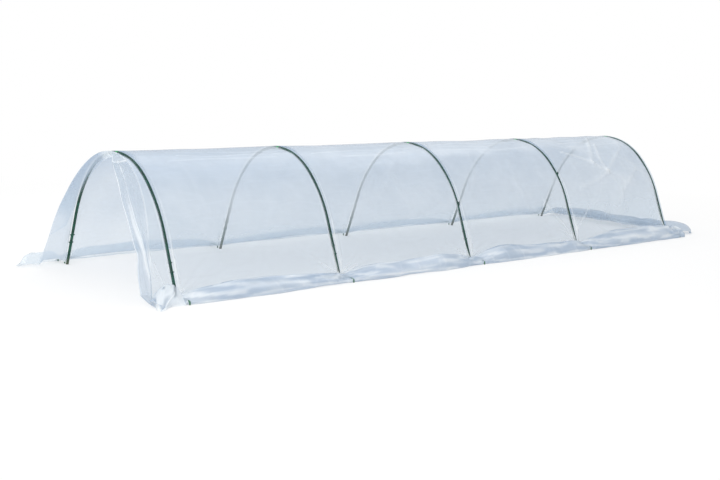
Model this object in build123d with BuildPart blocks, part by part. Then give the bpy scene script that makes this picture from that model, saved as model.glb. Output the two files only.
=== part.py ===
"""Low garden polytunnel: five bent hoops, a film cover drawn over them, pegged skirts and gathered ends."""

import os
from math import cos, radians, sin

from build123d import *

os.makedirs("parts", exist_ok=True)

# Frame, in millimetres. The tunnel runs along X with its open end at -X, and stands on Z = 0.
BAY = 750.0  # spacing of the hoops
BAYS = 4
TUBE_R = 5.5
CROWN_R = 315.0  # radius of the tube's axis over the top of a hoop
CROWN_TURN = 44.0  # degrees that the crown arc turns on each side
SHOULDER_R = 520.0
LEG_LEAN = 69.0  # degrees of a leg above the ground
LEG_LENGTH = 230.0  # straight foot of each hoop
REACH_NEAR = 180.0  # how far the film lies on the ground before the first hoop
REACH_FAR = 230.0  # and past the last hoop

# Fittings
JOINER_WALL = 1.0
JOINER_TURN = 1.3  # degrees on each side of the crown
WEB = 1.0  # stop between the two tubes
SEAT = 0.15  # clearance of a tube in its joiner
STOP_HEIGHTS = (97.0, 129.0)  # moulded stops above the ground
STOP_R = 7.0
STOP_T = 4.0
EAR_SPAN = 21.0
PEG_R = 3.0
PEG_INNER = 22.0  # start of a peg's bar, outside the foot of the leg
PEG_SPAN = 62.0
PEG_TOP = 17.0

# Film
CLEAR = 0.3  # gap that keeps the soft solids off their neighbours
FILM = 2.0
SKIRT_TOP = 62.0
HEM_OUT = 95.0  # hem of the skirt outside the hoop's foot
SLOPE_TOP = 24.0  # overhang of the near end at the crown
SLOPE_FOOT = 110.0  # and at the ground
FOLD_TOP = 60.0  # height of the puffed fold at the far end
CURTAIN_EDGE = 120.0  # free edge of the curtain on the ground, inside the hoop's foot
FILM_IN = TUBE_R + JOINER_WALL + CLEAR
FILM_OUT = FILM_IN + FILM

LENGTH = BAY * BAYS
X_FIRST = -(LENGTH + REACH_NEAR + REACH_FAR) / 2 + REACH_NEAR
X_LAST = X_FIRST + LENGTH
HOOPS = [X_FIRST + BAY * i for i in range(BAYS + 1)]

A1 = radians(CROWN_TURN)
A2 = radians(LEG_LEAN)
FOOT_Y = CROWN_R * sin(A1) + SHOULDER_R * (sin(A2) - sin(A1)) + LEG_LENGTH * cos(A2)
CROWN_Z = CROWN_R * (1 - cos(A1)) + SHOULDER_R * (cos(A1) - cos(A2)) + LEG_LENGTH * sin(A2)
HEM_Y = FOOT_Y + HEM_OUT
FOOT_CLEAR = (FILM_OUT + CLEAR) / sin(A2)  # outer face of the film at the ground, from the foot
HEM_WIDE = HEM_OUT - FOOT_CLEAR


def leg_y(z, out=0.0):
    """Distance from the middle of a line that runs beside the leg's axis, `out` mm outside it."""
    return FOOT_Y - z * cos(A2) / sin(A2) + out / sin(A2)


def half_arch(side, out=0.0, foot=0.0):
    """Half a hoop's curve from crown to ground, in a YZ sketch, `out` mm outside the tube's axis."""
    turn = -side
    crown = JernArc((0, CROWN_Z + out), (side, 0), CROWN_R + out, turn * CROWN_TURN)
    shoulder = JernArc(crown @ 1, crown % 1, SHOULDER_R + out, turn * (LEG_LEAN - CROWN_TURN))
    return Line(shoulder @ 1, (side * leg_y(foot, out), foot))


def film_face(foot, sides=(1, -1)):
    """The film's section over one or both halves of the hoop, in the sketch in hand."""
    with BuildLine() as outline:
        for side in sides:
            outer = half_arch(side, FILM_OUT, foot)
            inner = half_arch(side, FILM_IN, foot)
            Line(outer @ 1, inner @ 1)
        if len(sides) == 1:
            Line((0, CROWN_Z + FILM_OUT), (0, CROWN_Z + FILM_IN))
    make_face(outline.edges())


def export(solid, node):
    solid.label = node
    export_step(solid, "parts/" + node + ".step")


def half_hoop(x, side, node):
    """One bent tube from the joiner's web to the ground, with its two moulded stops."""
    with BuildPart() as half:
        with BuildLine(Plane.YZ.offset(x)) as path:
            half_arch(side, foot=-TUBE_R)
        with BuildSketch(Plane(origin=(x, 0, CROWN_Z), z_dir=(0, side, 0))):
            Circle(TUBE_R)
        sweep(path=path.wire())
        for height in STOP_HEIGHTS:
            lean = Plane(
                origin=(x, side * leg_y(height), height),
                x_dir=(1, 0, 0),
                z_dir=(0, -side * cos(A2), sin(A2)),
            )
            with Locations(lean):
                Cylinder(STOP_R - 1.0, STOP_T)
                Box(EAR_SPAN, STOP_T, STOP_T)
        with BuildSketch(Plane.YZ.offset(x - TUBE_R * 2)):
            with Locations((side * FOOT_Y, -20)):
                Rectangle(80, 40)
        extrude(amount=TUBE_R * 4, mode=Mode.SUBTRACT)
        with BuildSketch(Plane(origin=(x, 0, CROWN_Z), z_dir=(0, side, 0))):
            Rectangle(TUBE_R * 4, TUBE_R * 4)
        extrude(amount=WEB / 2, mode=Mode.SUBTRACT)
    export(half.part, node)


def crown_joiner(x, node):
    """Short sleeve that takes the two tubes of a hoop at the crown."""
    with BuildPart() as joiner:
        with BuildLine(Plane.YZ.offset(x)) as path:
            CenterArc((0, CROWN_Z - CROWN_R), CROWN_R, 90 - JOINER_TURN, 2 * JOINER_TURN)
        with BuildSketch(Plane(origin=path.line @ 0, z_dir=path.line % 0)):
            Circle(TUBE_R + JOINER_WALL)
            Circle(TUBE_R + SEAT, mode=Mode.SUBTRACT)
        sweep(path=path.wire())
        with BuildSketch(Plane(origin=(x, -WEB / 2, CROWN_Z), z_dir=(0, 1, 0))):
            Circle(TUBE_R + (SEAT + JOINER_WALL) / 2)
        extrude(amount=WEB)
    export(joiner.part, node)


def ground_peg(x, side, node):
    """Bent rod that pins the hem: a bar across the skirt with both ends turned into the ground."""
    y0 = side * (FOOT_Y + PEG_INNER)
    y1 = side * (FOOT_Y + PEG_INNER + PEG_SPAN)
    bend = PEG_R * 2.5
    with BuildPart() as peg:
        with BuildLine(Plane.YZ.offset(x)) as path:
            FilletPolyline((y0, 0), (y0, PEG_TOP - PEG_R), (y1, PEG_TOP - PEG_R), (y1, 0), radius=bend)
        with BuildSketch(Plane.XY.offset(0)):
            with Locations((x, y0)):
                Circle(PEG_R)
        sweep(path=path.wire())
    export(peg.part, node)


for number, x in enumerate(HOOPS, 1):
    half_hoop(x, -1, f"hoop_{number}_front")
    half_hoop(x, 1, f"hoop_{number}_back")
    crown_joiner(x, f"crown_joiner_{number}")
    ground_peg(x, -1, f"ground_peg_{number}_front")
    ground_peg(x, 1, f"ground_peg_{number}_back")

# Film cover over the hoops, down to the top of the skirts
COVER_NEAR = X_FIRST - FILM_IN
COVER_FAR = X_LAST + EAR_SPAN / 2
with BuildPart() as film_cover:
    with BuildSketch(Plane.YZ.offset(COVER_NEAR)):
        film_face(SKIRT_TOP + CLEAR)
    extrude(amount=COVER_FAR - COVER_NEAR)
export(film_cover.part, "film_cover")


def skirt_section(plane, side, fullness):
    """Section of a skirt: drawn down to the ground at 0 and puffed out at 1. It ends just below ground."""
    mid_y = FOOT_Y + 20 + 32 * fullness
    mid_z = 28 + 25 * fullness
    with BuildSketch(plane) as section:
        with BuildLine():
            outer = ThreePointArc(
                (side * leg_y(SKIRT_TOP, FILM_OUT), SKIRT_TOP),
                (side * mid_y, mid_z),
                (side * HEM_Y, FILM),
            )
            Polyline(
                outer @ 1,
                (side * HEM_Y, -FILM),
                (side * leg_y(-FILM, FILM_IN), -FILM),
                (side * leg_y(SKIRT_TOP, FILM_IN), SKIRT_TOP),
                outer @ 0,
            )
        make_face()
    return section.sketch.face()


SKIRT_SHAPE = ((0, 0), (0.16, 0.75), (0.5, 1), (0.84, 0.75), (1, 0))  # fullness along a bay
SLOT = PEG_R + CLEAR
for number, x in enumerate(HOOPS[:-1], 1):
    start = x + SLOT
    span = BAY - 2 * SLOT
    for side, name in ((-1, "front"), (1, "back")):
        with BuildPart() as skirt:
            sections = [
                skirt_section(Plane.YZ.offset(start + span * share), side, fullness)
                for share, fullness in SKIRT_SHAPE
            ]
            loft(sections)
            split(bisect_by=Plane.XY)
        export(skirt.part, f"skirt_{number}_{name}")

# Near end: the film overhangs the first hoop, and its free edge slopes out to the ground
NEAR_TOP = X_FIRST - SLOPE_TOP
NEAR_FOOT = X_FIRST - SLOPE_FOOT
FLAP_START = COVER_NEAR - CLEAR


def near_wedge(thick):
    """Side outline of the overhang in an XZ sketch: all of it, or only a sheet along its free edge."""
    inner_top = NEAR_TOP + thick if thick else FLAP_START
    inner_foot = NEAR_FOOT + thick if thick else FLAP_START
    top = CROWN_Z + FILM_OUT
    with BuildLine() as outline:
        Polyline((NEAR_TOP, top), (NEAR_FOOT, 0), (inner_foot, 0), (inner_top, top), close=True)
    make_face(outline.edges())


with BuildPart() as near_flap_back:
    with BuildSketch(Plane.YZ.offset(NEAR_FOOT)):
        film_face(0, (1,))
    extrude(amount=FLAP_START - NEAR_FOOT)
    with BuildSketch(Plane.XZ.offset(-HEM_Y)):
        near_wedge(0)
    extrude(amount=HEM_Y, mode=Mode.INTERSECT)
export(near_flap_back.part, "near_flap_back")

with BuildPart() as near_curtain:
    with BuildSketch(Plane.YZ.offset(NEAR_FOOT)):
        film_face(0, (-1,))
    extrude(amount=FLAP_START - NEAR_FOOT)
    with BuildSketch(Plane.XZ):
        near_wedge(0)
    extrude(amount=HEM_Y, mode=Mode.INTERSECT)
    with BuildPart(mode=Mode.PRIVATE) as sheet:
        with BuildSketch(Plane.YZ.offset(NEAR_FOOT)):
            with BuildLine():
                arch = half_arch(-1, FILM_OUT - 0.5)
                Polyline(arch @ 1, (-(FOOT_Y - CURTAIN_EDGE), 0), (0, CROWN_Z + FILM_OUT - 0.5))
            make_face()
        extrude(amount=FLAP_START - NEAR_FOOT)
        with BuildSketch(Plane.XZ):
            near_wedge(FILM)
        extrude(amount=HEM_Y, mode=Mode.INTERSECT)
    add(sheet.part)
export(near_curtain.part, "near_curtain")

# Where the near film reaches the ground: a gathered corner in front, and the hem run on behind
with BuildPart() as near_corner_front:
    for share, height in ((0, 30), (0.45, 58), (1, 12)):
        x = FLAP_START - CLEAR - SLOPE_FOOT * share
        with BuildSketch(Plane.YZ.offset(x)):
            with BuildLine():
                bulge = ThreePointArc(
                    (-(FOOT_Y + FOOT_CLEAR), height * 0.9),
                    (-(FOOT_Y + FOOT_CLEAR + HEM_WIDE * 0.55), height),
                    (-(FOOT_Y + FOOT_CLEAR + HEM_WIDE), FILM),
                )
                Polyline(
                    bulge @ 1,
                    (-(FOOT_Y + FOOT_CLEAR + HEM_WIDE), -FILM),
                    (-(FOOT_Y + FOOT_CLEAR), -FILM),
                    bulge @ 0,
                )
            make_face()
    loft()
    split(bisect_by=Plane.XY)
export(near_corner_front.part, "near_corner_front")

with BuildPart() as near_hem_back:
    for share, height, out in ((0, 20, HEM_WIDE), (0.6, 26, HEM_WIDE * 0.94), (1, 6, HEM_WIDE * 0.5)):
        x = FLAP_START - CLEAR - (REACH_NEAR - FILM_IN - 2 * CLEAR) * share
        with BuildSketch(Plane.YZ.offset(x)):
            with BuildLine():
                bulge = ThreePointArc(
                    (FOOT_Y + FOOT_CLEAR, height),
                    (FOOT_Y + FOOT_CLEAR + out * 0.5, height * 0.8),
                    (FOOT_Y + FOOT_CLEAR + out, FILM),
                )
                Polyline(
                    bulge @ 1,
                    (FOOT_Y + FOOT_CLEAR + out, 0),
                    (FOOT_Y + FOOT_CLEAR, 0),
                    bulge @ 0,
                )
            make_face()
    loft(ruled=True)
export(near_hem_back.part, "near_hem_back")

# Far end: the film closes the last hoop, and its spare length lies in a puffed fold on the ground
END_X = COVER_FAR + CLEAR
with BuildPart() as end_panel:
    with BuildSketch(Plane.YZ.offset(END_X)):
        with BuildLine():
            for side in (1, -1):
                arch = half_arch(side, FILM_OUT)
                Line(arch @ 1, (0, 0))
        make_face()
    extrude(amount=FILM)
export(end_panel.part, "end_panel")

FOLD_X = END_X + FILM + CLEAR
FOLD_SPAN = X_LAST + REACH_FAR - FOLD_X
with BuildPart() as end_fold:
    for share, height in ((0, 0.5), (0.25, 0.95), (0.5, 1), (0.75, 0.95), (1, 0.5)):
        y = (HEM_Y - 30) * (2 * share - 1)
        reach = FOLD_SPAN * (0.55 + 0.9 * (height - 0.5))
        with BuildSketch(Plane.XZ.offset(-y)):
            with BuildLine():
                bulge = ThreePointArc(
                    (FOLD_X, FOLD_TOP * height),
                    (FOLD_X + reach * 0.6, FOLD_TOP * height * 0.86),
                    (FOLD_X + reach, FILM),
                )
                Polyline(bulge @ 1, (FOLD_X + reach, 0), (FOLD_X, 0), bulge @ 0)
            make_face()
    loft(ruled=True)
export(end_fold.part, "end_fold")
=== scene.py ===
"""Low garden polytunnel: ribbed hoops under one thin, creased film, pinned along both sides.

The tunnel runs along x with its open end at low x, and its front is at low y. On the film, u runs along
the tunnel and v over the hoops from the crown, below 0 at the front. Lengths are in metres.
"""

import math

import bpy
import numpy as np
from mathutils import Matrix, Vector


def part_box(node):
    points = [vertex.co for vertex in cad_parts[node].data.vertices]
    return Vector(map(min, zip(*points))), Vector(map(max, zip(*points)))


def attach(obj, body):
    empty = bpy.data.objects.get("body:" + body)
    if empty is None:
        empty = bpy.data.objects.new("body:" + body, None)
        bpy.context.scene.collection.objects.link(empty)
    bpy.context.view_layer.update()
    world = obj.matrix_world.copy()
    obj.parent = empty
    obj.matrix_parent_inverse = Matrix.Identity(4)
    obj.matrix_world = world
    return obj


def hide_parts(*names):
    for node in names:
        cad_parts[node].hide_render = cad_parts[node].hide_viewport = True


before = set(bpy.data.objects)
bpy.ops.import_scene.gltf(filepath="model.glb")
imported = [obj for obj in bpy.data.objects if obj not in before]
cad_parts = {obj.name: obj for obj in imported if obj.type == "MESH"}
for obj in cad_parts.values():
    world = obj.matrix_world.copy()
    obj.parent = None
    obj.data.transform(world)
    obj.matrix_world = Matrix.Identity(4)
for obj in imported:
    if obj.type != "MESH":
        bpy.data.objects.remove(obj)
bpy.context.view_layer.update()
scene = bpy.context.scene

# -------- the hoops' line, and places from the frame
TUBE_R = 0.0055
CROWN_R, SHOULDER_R, LEG_LENGTH = 0.315, 0.520, 0.230
CROWN_TURN, LEG_LEAN = math.radians(44), math.radians(69)  # of the crown on each side, and above the ground
CROWN_END = CROWN_R * CROWN_TURN
SHOULDER_END = CROWN_END + SHOULDER_R * (LEG_LEAN - CROWN_TURN)
HALF = SHOULDER_END + LEG_LENGTH  # from crown to ground along the tube
FILM_OUT = 0.0088  # outer face of the film's solid from the tube's axis
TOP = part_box("film_cover")[1].z - FILM_OUT  # the tube's axis at the crown
HOOPS = [sum(corner.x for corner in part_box(f"hoop_{i}_front")) / 2 for i in range(1, 6)]
NEAR, FAR = HOOPS[0], HOOPS[-1]
BAY = HOOPS[1] - HOOPS[0]
FOOT = -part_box("hoop_1_front")[0].y - TUBE_R / math.sin(LEG_LEAN)  # the tube's axis at the ground
HOOP_HEIGHT = 0.4996  # to the top of the film's solid
CROWN_REACH, FRONT_REACH, BACK_REACH = 0.024, 0.086, 0.102  # the overhang, and what it gains by the ground
CLEAR_OF_TUBE = 0.0066  # the film from the tube's axis
GROUND = 0.0012  # the lowest that the film lies
COVER_LOWEST = 0.6 * GROUND  # the cover's hem lies under the other sheets


def section(s, d=0.0):
    """y, z and the outward normal of the hoops' line, s along it from the crown and d outside it."""
    far, side = np.abs(s), np.sign(s)
    on_crown = far < CROWN_END
    on_shoulder = CROWN_TURN + (far - CROWN_END) / SHOULDER_R
    turn = np.where(on_crown, far / CROWN_R, np.where(far < SHOULDER_END, on_shoulder, LEG_LEAN))
    crown_z = TOP - CROWN_R
    shoulder_y = (CROWN_R - SHOULDER_R) * math.sin(CROWN_TURN)
    shoulder_z = crown_z + (CROWN_R - SHOULDER_R) * math.cos(CROWN_TURN)
    down_leg = np.maximum(far - SHOULDER_END, 0)
    radius = np.where(on_crown, CROWN_R, SHOULDER_R)
    y = np.where(on_crown, 0, shoulder_y) + radius * np.sin(turn) + down_leg * math.cos(LEG_LEAN)
    z = np.where(on_crown, crown_z, shoulder_z) + radius * np.cos(turn) - down_leg * math.sin(LEG_LEAN)
    return side * (y + d * np.sin(turn)), z + d * np.cos(turn), side * np.sin(turn), np.cos(turn)


def to_hoop(x):
    """How far each place along the tunnel is from the nearest hoop."""
    return np.min(np.abs(x[..., None] - np.array(HOOPS)), axis=-1)


def overhang(z, back=False):
    """How far the film reaches past the first hoop, by height."""
    gain = np.where(back, BACK_REACH, FRONT_REACH)
    return CROWN_REACH + gain * (1 - np.clip(z / HOOP_HEIGHT, 0, 1))


# -------- helpers for shapes
def smooth(x, lo=0.0, hi=1.0):
    """0 up to lo and 1 from hi on, with a smooth step between."""
    t = np.clip((x - lo) / (hi - lo), 0, 1)
    return t * t * (3 - 2 * t)


def hump(x, width, power=2):
    """1 at 0, falling away over width."""
    return np.exp(-((x / width) ** power))


def field(u, v, seed, size, stretch=1.0):
    """Smooth random field of about unit strength, of wavelengths near size, drawn out along u by stretch."""
    waves = 14
    draw = np.random.default_rng(seed)
    total = 0.0
    for _ in range(waves):
        turn = draw.uniform(0, 2 * math.pi)
        rate = 2 * math.pi / size * draw.uniform(0.6, 1.5)
        phase = draw.uniform(0, 2 * math.pi)
        total = total + np.cos(rate * (u * math.cos(turn) / stretch + v * math.sin(turn)) + phase)
    return total / math.sqrt(waves / 2)


def blotches(u, v, seed, size, stretch=1.0):
    """The same field held within 0 to 1."""
    return np.clip(0.5 + 0.5 * field(u, v, seed, size, stretch), 0, 1)


def crumple(u, v, seed, size, stretch=1.0):
    """Facets between sharp folds: a height of about -1 to 1, and how near each point is to a fold, 0 to 1."""
    folds = 4
    draw = np.random.default_rng(seed)
    height, near = 0.0, 0.0
    for k in range(folds):
        turn = draw.uniform(0, math.pi)
        span = size * draw.uniform(0.7, 1.7)
        across = (u * math.cos(turn) / stretch + v * math.sin(turn)) / span + draw.uniform(0, 1)
        across = across + 0.28 * field(u, v, seed * 31 + k, size * 3.0, stretch)
        tent = np.abs(across % 1 - 0.5) * 2
        height = height + (tent - 0.5) * draw.uniform(0.5, 1.0)
        near = np.maximum(near, hump(1 - tent, 0.07) * draw.uniform(0.3, 1.0))
    return height * 1.4 / math.sqrt(folds), near


def spline(knots, shares):
    """Catmull-Rom curve through knots, which lie along the first axis, at shares of its length."""
    knots = np.asarray(knots, float)
    p = np.concatenate([2 * knots[:1] - knots[1:2], knots, 2 * knots[-1:] - knots[-2:-1]])
    at = np.clip(np.asarray(shares) * (len(knots) - 1), 0, len(knots) - 1 - 1e-9)
    i = at.astype(int)
    t = (at - i).reshape((-1,) + (1,) * (knots.ndim - 1))
    a, b, c, d = p[i], p[i + 1], p[i + 2], p[i + 3]
    return 0.5 * (2 * b + (c - a) * t + (2 * a - 5 * b + 4 * c - d) * t**2 + (3 * b - a - 3 * c + d) * t**3)


def running_total(steps):
    """Sums of steps from 0 on."""
    return np.concatenate([[0], np.cumsum(steps)])


def evenly(line, shares):
    """Points at shares of a line's length."""
    run = running_total(np.linalg.norm(np.diff(line, axis=0), axis=1))
    return np.stack([np.interp(shares * run[-1], run, line[:, k]) for k in range(3)], axis=-1)


def spaced(places, density, number=None):
    """Places from the first to the last, closer together where density is high: number of them, or as many
    as density adds up to."""
    run = running_total((density[1:] + density[:-1]) / 2 * np.diff(places))
    return np.interp(np.linspace(0, run[-1], number or int(run[-1])), run, places)


def normals(p):
    """Unit normals of a grid of points."""
    n = np.cross(np.gradient(p, axis=1), np.gradient(p, axis=0))
    return n / np.maximum(np.linalg.norm(n, axis=2, keepdims=True), 1e-12)


def lifted(p, lift, lowest=GROUND):
    """A grid of points moved along its normals by lift, and kept above the ground."""
    p = p + normals(p) * lift[..., None]
    p[..., 2] = np.maximum(p[..., 2], lowest)
    return p


class Creases:
    """Folds drawn on a sheet whose points are u, v: how they lift the film, and how far they whiten it,
    partly with the milk of gathered layers and partly with a painted highlight.
    """

    def __init__(self, u, v):
        self.u, self.v = u, v
        self.lift = np.zeros_like(u)
        self.haze = np.zeros_like(u)

    def line(self, points, width, lift, haze, fade=(1.0, 0.0)):
        """A fold along points, which widens on its way. fade is its strength at the first and the last."""
        points = np.asarray(points, float)
        steps = np.linalg.norm(np.diff(points, axis=0), axis=1)
        run, total = 0.0, steps.sum()
        nearest = np.full(self.u.shape, np.inf)
        along = np.zeros(self.u.shape)
        for a, b, step in zip(points[:-1], points[1:], steps):
            way = (b - a) / step
            t = np.clip((self.u - a[0]) * way[0] + (self.v - a[1]) * way[1], 0, step)
            far = np.hypot(self.u - a[0] - t * way[0], self.v - a[1] - t * way[1])
            closer = far < nearest
            nearest = np.where(closer, far, nearest)
            along = np.where(closer, (run + t) / total, along)
            run += step
        strength = fade[0] + (fade[1] - fade[0]) * along
        near = hump(nearest, width * (0.55 + 0.9 * along)) * strength
        self.lift += lift * near
        self.haze += haze * near


def mesh_object(name, verts, faces):
    mesh = bpy.data.meshes.new(name)
    mesh.from_pydata(verts, [], faces)
    mesh.update()
    mesh.shade_smooth()
    obj = bpy.data.objects.new(name, mesh)
    scene.collection.objects.link(obj)
    return obj


def grid_object(name, p, u, v, haze, pale, tight=None):
    """A sheet from a grid of points.

    Each point keeps its place on the flat sheet, and how milky, how pale and how tight the film is there.
    """
    rows, cols = p.shape[:2]
    at = np.arange(rows * cols).reshape(rows, cols)
    quads = np.stack([at[:-1, :-1], at[:-1, 1:], at[1:, 1:], at[1:, :-1]], axis=-1).reshape(-1, 4)
    obj = mesh_object(name, p.reshape(-1, 3), quads.tolist())
    zero = np.zeros((rows, cols))
    looks = (haze + zero, pale + zero, zero if tight is None else tight + zero)
    for key, parts in (("sheet", (u + zero, v + zero, zero)), ("film", looks)):
        values = np.stack(parts, axis=-1).astype(np.float32)
        obj.data.attributes.new(key, "FLOAT_VECTOR", "POINT").data.foreach_set("vector", values.ravel())
    return obj


def ringed_faces(first, rings, around):
    """Faces of a closed body made of rings of points, the first of them at first, with a cap at each end."""
    faces = []
    for i in range(rings - 1):
        low, high = first + i * around, first + (i + 1) * around
        for j in range(around):
            k = (j + 1) % around
            faces.append((low + j, low + k, high + k, high + j))
    last = first + (rings - 1) * around
    faces.append(tuple(range(first + around - 1, first - 1, -1)))
    faces.append(tuple(range(last, last + around)))
    return faces


# -------- materials
class Tree:
    """A node tree that starts empty, with short ways to add to it."""

    def __init__(self, owner):
        owner.use_nodes = True
        self.nodes, self.links = owner.node_tree.nodes, owner.node_tree.links
        self.nodes.clear()

    def node(self, kind, inputs=None, **settings):
        """A node with its settings, and its inputs by name or place: numbers, colours or other outputs."""
        made = self.nodes.new(kind)
        for key, value in settings.items():
            setattr(made, key, value)
        for key, value in (inputs or {}).items():
            socket = made.inputs[key]
            if isinstance(value, bpy.types.NodeSocket):
                self.links.new(value, socket)
            elif socket.type == "RGBA":
                socket.default_value = (*value, 1)
            else:
                socket.default_value = value
        return made

    def maths(self, operation, *values, clamp=False):
        made = self.node("ShaderNodeMath", dict(enumerate(values)), operation=operation, use_clamp=clamp)
        return made.outputs[0]

    def ramp(self, value, low, high, to_low=0.0, to_high=1.0):
        """value carried from one range over to another, and held inside it."""
        inputs = {"Value": value, "From Min": low, "From Max": high, "To Min": to_low, "To Max": to_high}
        return self.node("ShaderNodeMapRange", inputs).outputs[0]

    def noise(self, place, **inputs):
        return self.node("ShaderNodeTexNoise", {"Vector": place, **inputs}).outputs["Fac"]

    def bump(self, height, strength, distance):
        inputs = {"Height": height, "Strength": strength, "Distance": distance}
        return self.node("ShaderNodeBump", inputs).outputs[0]

    def mix(self, factor, a, b, **settings):
        """The colour between a and b."""
        inputs = {"Factor": factor, "A": a, "B": b}
        return self.node("ShaderNodeMix", inputs, data_type="RGBA", **settings).outputs["Result"]

    def blend(self, factor, a, b):
        """The shader between a and b."""
        return self.node("ShaderNodeMixShader", {0: factor, 1: a, 2: b}).outputs[0]

    def shader(self, kind, **inputs):
        return self.node(kind, inputs).outputs[0]

    def surface(self, shader):
        self.node("ShaderNodeOutputMaterial", {0: shader})


def film_material():
    """Thin clear film: tinted where it is clear, milky where folds gather it, and clearest on a tube."""
    mat = bpy.data.materials.new("polythene_film")
    tree = Tree(mat)
    sheet = tree.node("ShaderNodeAttribute", attribute_name="sheet").outputs["Vector"]
    looks = tree.node("ShaderNodeAttribute", attribute_name="film").outputs["Vector"]
    haze, pale, tight = tree.node("ShaderNodeSeparateXYZ", {0: looks}).outputs
    loose = tree.maths("SUBTRACT", 1.0, tight)
    dull = tree.maths("SUBTRACT", 1.0, pale, clamp=True)

    # Soft clouds, crinkles drawn out along the tunnel, and the facets of old packing creases
    clouds = tree.noise(sheet, Scale=4.0, Detail=3.0, Roughness=0.55)
    drawn = tree.node("ShaderNodeMapping", {"Vector": sheet, "Scale": (6.0, 32.0, 1.0)}).outputs[0]
    crinkle = tree.noise(drawn, Scale=1.0, Detail=3.5, Roughness=0.5, Distortion=0.8)
    cells = tree.node("ShaderNodeTexVoronoi", {"Vector": sheet, "Scale": 24.0}, feature="DISTANCE_TO_EDGE")
    facets = tree.ramp(cells.outputs["Distance"], 0.0, 0.10, 1.0, 0.0)
    height = tree.maths("ADD", tree.maths("MULTIPLY", facets, 0.2), crinkle)
    bump = tree.bump(height, 0.16, 0.0014)
    facing = tree.node("ShaderNodeLayerWeight", {"Blend": 0.5, "Normal": bump}).outputs["Facing"]

    # Clear film. Below 0, haze takes the tint away too
    slant = tree.maths("MULTIPLY", tree.maths("POWER", facing, 9.0), dull)
    tint = tree.mix(slant, (0.86, 0.90, 0.935), (0.50, 0.58, 0.68))
    bare = tree.maths("MULTIPLY", haze, -5.0, clamp=True)
    clear = tree.shader("ShaderNodeBsdfTransparent", Color=tree.mix(bare, tint, (0.98, 0.99, 1.0)))

    # Milky film. Below 0, pale makes the milk deeper than its first colour
    mottled = tree.maths("MULTIPLY_ADD", clouds, 0.2, pale)
    shade = tree.mix(mottled, (0.575, 0.66, 0.765), (0.90, 0.945, 0.98), clamp_factor=False)
    # Seen edge on, it is as dark as many layers of itself
    side_on = tree.maths("MULTIPLY", tree.maths("POWER", facing, 16.0), dull)
    deep = tree.mix(side_on, shade, (0.26, 0.33, 0.40))
    front = tree.shader("ShaderNodeBsdfDiffuse", Color=deep, Normal=bump)
    back = tree.shader("ShaderNodeBsdfTranslucent", Color=deep, Normal=bump)
    milk = tree.blend(0.32, front, back)

    cloudy = tree.ramp(clouds, 0.3, 0.7, 0.82, 1.18)
    streaks = tree.ramp(crinkle, 0.5, 0.8, 0.0, 0.06)
    milky = tree.maths("ADD", tree.maths("MULTIPLY", haze, cloudy), streaks)
    milky = tree.maths("MINIMUM", tree.maths("MULTIPLY", milky, loose), 0.94, clamp=True)
    mirror = tree.maths("MULTIPLY_ADD", tree.maths("POWER", facing, 5.0), 0.45, 0.05)
    gloss = tree.shader("ShaderNodeBsdfGlossy", Color=(0.95, 0.97, 1.0), Roughness=0.24, Normal=bump)
    body = tree.blend(milky, clear, milk)
    tree.surface(tree.blend(tree.maths("MULTIPLY", mirror, loose), body, gloss))
    return mat


def plastic_material(name, dark, light, roughness, soil=0.0):
    """Moulded or coated plastic: mottled, paler at worn edges, finely pitted, and dusty up to height soil."""
    mat = bpy.data.materials.new(name)
    tree = Tree(mat)
    place = tree.node("ShaderNodeTexCoord").outputs["Object"]
    mottle = tree.noise(place, Scale=38.0, Detail=4.0, Roughness=0.6)
    peel = tree.noise(place, Scale=900.0, Detail=2.0)
    worn = tree.ramp(tree.node("ShaderNodeNewGeometry").outputs["Pointiness"], 0.53, 0.62, 0.0, 0.55)
    colour = tree.mix(tree.ramp(mottle, 0.35, 0.68), dark, light)
    colour = tree.mix(worn, colour, [min(1, c * 2.2 + 0.05) for c in light])
    if soil:
        height = tree.node("ShaderNodeSeparateXYZ", {0: place}).outputs["Z"]
        dusty = tree.maths("MULTIPLY", tree.ramp(height, 0.0, soil, 0.8, 0.0), mottle)
        colour = tree.mix(dusty, colour, (0.21, 0.15, 0.10))
    rough = tree.ramp(mottle, 0.3, 0.7, roughness - 0.07, roughness + 0.1)
    looks = {"Base Color": colour, "Roughness": rough, "IOR": 1.38, "Normal": tree.bump(peel, 0.25, 0.0004)}
    tree.surface(tree.shader("ShaderNodeBsdfPrincipled", **looks))
    return mat


FILM = film_material()
COATING = plastic_material("hoop_coating", (0.004, 0.037, 0.022), (0.012, 0.102, 0.064), 0.30, soil=0.04)
JOINER = plastic_material("joiner_plastic", (0.03, 0.30, 0.07), (0.07, 0.44, 0.12), 0.30)
PEG = plastic_material("peg_coating", (0.015, 0.12, 0.075), (0.04, 0.22, 0.14), 0.36, soil=0.02)


def finish_piece(obj, mat, slot, *nodes):
    """A finished piece: its looks, what it rides on and the solids that it stands for."""
    obj.data.materials.append(mat)
    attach(obj, "root")
    if nodes:
        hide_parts(*nodes)


def repaint(node, mat):
    """A solid of the frame that shows as it is."""
    node.data.materials.clear()
    node.data.materials.append(mat)


# -------- hoops: ribbed coated tubes with moulded stops
TUBE_START, TUBE_END = 0.0005, HALF + 0.0022  # the end is cut off level with the ground
TUBE_SIDES, RIB_STEPS = 14, 5
COAT = 0.0001  # the coating outside the plain tube
RIB_PITCH, RIB_HEIGHT, RIB_WIDTH = 0.004, 0.0005, 0.17  # the width as a share of the pitch
STOP_HEIGHTS = (0.097, 0.129)
STOP_SIDES, STOP_R, STOP_EAR, STOP_PINCH = 28, 0.0063, 0.0042, 0.0025
# Places along the leg, and shares of the stop's size there: both its faces have a bevelled edge
BEVEL = ((0.0006, 1.0), (0.0016, 0.97), (0.0020, 0.86))
STOP_LEVELS = [(-level, scale) for level, scale in reversed(BEVEL)] + list(BEVEL)


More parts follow.
